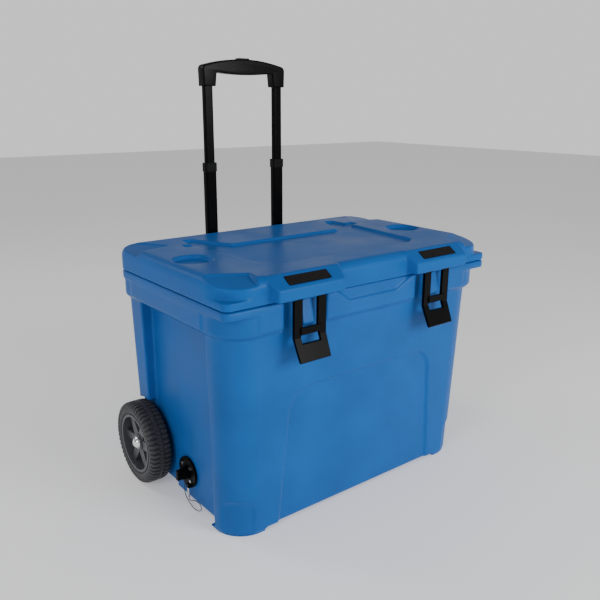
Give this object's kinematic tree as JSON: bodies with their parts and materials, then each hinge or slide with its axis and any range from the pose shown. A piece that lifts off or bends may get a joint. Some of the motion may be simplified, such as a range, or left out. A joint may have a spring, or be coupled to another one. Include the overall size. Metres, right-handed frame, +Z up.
{
  "type": "wheeled cooler",
  "caption": "Wheeled hard cooler with a hinged lid, front latches, a drain with a tethered plug, and a telescopic pull handle.",
  "frame": {"origin": "centre of the footprint, on the ground under the feet and wheels", "axes": "+X along the long side towards the right-hand wheel, -Y the front with the latches, +Z up; the drain is on the -X end"},
  "size_m": [0.677, 0.458, 0.8405],
  "materials": {
    "tub_plastic": "fine pebbled",
    "lid_plastic": "fine pebbled",
    "foam": "cellular",
    "latch_plastic": "satin",
    "black_plastic": "satin",
    "pad_rubber": "matt",
    "seal_rubber": "matt",
    "tyre_rubber": "matt",
    "rim_plastic": "satin",
    "tube_aluminium": "black anodised",
    "grip_plastic": "satin",
    "steel": "brushed",
    "chrome_steel": "polished",
    "brass": "machined",
    "bush_plastic": "smooth",
    "wire_steel": "dark stranded",
    "rod_aluminium": "plain"
  },
  "bodies": {
    "tub": {"body_shell": "tub_plastic", "body_foam": "foam", "foot_pads": "tub_plastic", "axle_washers": "steel", "hinge_bracket_left": "black_plastic", "hinge_bracket_right": "black_plastic", "hinge_pin_left": "steel", "hinge_pin_right": "steel", "hinge_screws": "steel", "drain_flange": "black_plastic", "drain_gasket": "seal_rubber", "drain_screws": "steel", "drain_nut": "black_plastic", "drain_lanyard": "wire_steel", "lanyard_crimp": "steel", "axle_bolt_left": "chrome_steel", "axle_bolt_right": "chrome_steel", "axle_insert_left": "brass", "axle_insert_right": "brass", "axle_spacer_left": "steel", "axle_spacer_right": "steel", "outer_tube_left": "tube_aluminium", "outer_tube_right": "tube_aluminium", "outer_collar_left": "black_plastic", "outer_collar_right": "black_plastic", "handle_upper_bracket": "black_plastic", "handle_lower_bracket": "black_plastic", "handle_screws": "steel"},
    "plug": {"drain_plug": "black_plastic", "drain_plug_seal": "seal_rubber"},
    "lid": {"lid_shell": "lid_plastic", "lid_foam": "foam", "lid_gasket": "seal_rubber", "lid_pad_left": "pad_rubber", "lid_pad_right": "pad_rubber", "latch_pin_left": "steel", "latch_pin_right": "steel"},
    "latch_left": {"latch_left": "latch_plastic"},
    "latch_right": {"latch_right": "latch_plastic"},
    "wheel_left": {"tyre_left": "tyre_rubber", "wheel_rim_left": "rim_plastic", "wheel_bush_left": "bush_plastic"},
    "wheel_right": {"tyre_right": "tyre_rubber", "wheel_rim_right": "rim_plastic", "wheel_bush_right": "bush_plastic"},
    "handle_middle": {"middle_tube_left": "tube_aluminium", "middle_tube_right": "tube_aluminium", "middle_collar_left": "black_plastic", "middle_collar_right": "black_plastic", "middle_guide_left": "black_plastic", "middle_guide_right": "black_plastic"},
    "handle_inner": {"inner_tube_left": "tube_aluminium", "inner_tube_right": "tube_aluminium", "grip": "grip_plastic", "inner_guide_left": "black_plastic", "inner_guide_right": "black_plastic"},
    "release": {"release_button": "grip_plastic", "release_yoke": "rod_aluminium", "button_spring": "steel"}
  },
  "joints": [
    {"name": "lid_hinge", "type": "hinge", "parent": "tub", "child": "lid", "pos_m": [0, 0.188, 0.47], "axis": [-1, 0, 0], "range_deg": [0, 90]},
    {"name": "latch_left_pivot", "type": "hinge", "parent": "lid", "child": "latch_left", "pos_m": [-0.158, -0.209, 0.444], "axis": [-1, 0, 0], "range_deg": [0, 65]},
    {"name": "latch_right_pivot", "type": "hinge", "parent": "lid", "child": "latch_right", "pos_m": [0.158, -0.209, 0.444], "axis": [-1, 0, 0], "range_deg": [0, 65]},
    {"name": "wheel_left_spin", "type": "hinge", "parent": "tub", "child": "wheel_left", "pos_m": [-0.31, 0.1344, 0.0844], "axis": [1, 0, 0], "continuous": true},
    {"name": "wheel_right_spin", "type": "hinge", "parent": "tub", "child": "wheel_right", "pos_m": [0.31, 0.1344, 0.0844], "axis": [1, 0, 0], "continuous": true},
    {"name": "drain_plug_turn", "type": "hinge", "parent": "tub", "child": "plug", "pos_m": [-0.29, 0.002, 0.063], "axis": [-1, 0, 0], "range_deg": [0, 540]},
    {"name": "handle_middle_slide", "type": "slide", "parent": "tub", "child": "handle_middle", "axis": [0, 0, 1], "range_m": [-0.165, 0]},
    {"name": "handle_inner_slide", "type": "slide", "parent": "handle_middle", "child": "handle_inner", "axis": [0, 0, 1], "range_m": [-0.15, 0]},
    {"name": "release_press", "type": "slide", "parent": "handle_inner", "child": "release", "axis": [0, 0, 1], "range_m": [-0.004, 0], "stiffness_N_per_m": 400, "springref_m": 0.006, "deforming": ["button_spring"]}
  ]
}
